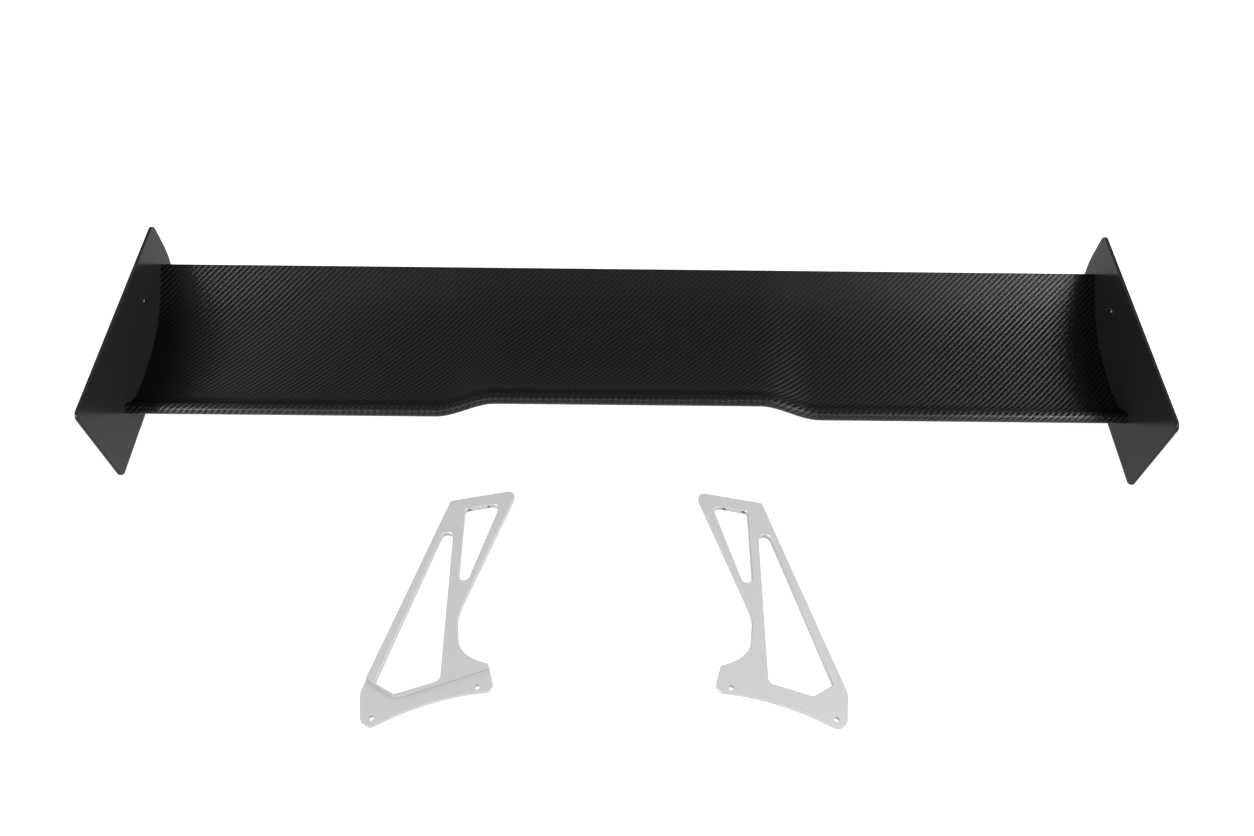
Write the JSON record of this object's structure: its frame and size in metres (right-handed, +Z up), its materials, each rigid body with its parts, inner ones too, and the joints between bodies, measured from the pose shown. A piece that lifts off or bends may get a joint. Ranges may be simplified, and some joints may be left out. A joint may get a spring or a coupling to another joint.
{
  "type": "racing rear wing",
  "caption": "Hollow carbon rear wing with a raised centre and flat end plates, laid out with two windowed aluminium stands that lift away.",
  "frame": {"origin": "centre of the bottom of the whole layout: on the bench, half way between the outermost end plate screws and half way between the front of the stands and the rear of the end plates", "axes": "X along the span, +Y towards the rear of the car (the trailing edge), +Z up from the bench"},
  "size_m": [1.398, 0.682, 0.146],
  "materials": {
    "carbon": "black 2x2 twill carbon laminate under clear lacquer",
    "gloss_black": "gloss black",
    "satin_aluminium": "bead-blasted and clear anodised",
    "steel": "stainless",
    "plywood": "sealed birch plywood",
    "brass": "turned"
  },
  "bodies": {
    "wing": {"upper_skin": "carbon", "lower_skin": "carbon", "front_spar": "carbon", "rear_spar": "carbon", "left_end_rib": "plywood", "left_rib_inserts": "brass", "left_mount_block": "plywood", "left_mount_inserts": "brass", "left_step_rib": "plywood", "left_end_plate": "gloss_black", "left_plate_washers": "steel", "left_plate_screws": "steel", "left_blanking_screw": "steel", "left_blanking_nut": "steel", "right_end_rib": "plywood", "right_rib_inserts": "brass", "right_mount_block": "plywood", "right_mount_inserts": "brass", "right_step_rib": "plywood", "right_end_plate": "gloss_black", "right_plate_washers": "steel", "right_plate_screws": "steel", "right_blanking_screw": "steel", "right_blanking_nut": "steel"},
    "left_stand": {"left_stand": "satin_aluminium"},
    "right_stand": {"right_stand": "satin_aluminium"}
  },
  "joints": [
    {"name": "left_stand_lift", "type": "slide", "parent": "wing", "child": "left_stand", "axis": [0, 0, 1], "range_m": [0, 0.2]},
    {"name": "right_stand_lift", "type": "slide", "parent": "wing", "child": "right_stand", "axis": [0, 0, 1], "range_m": [0, 0.2]}
  ]
}
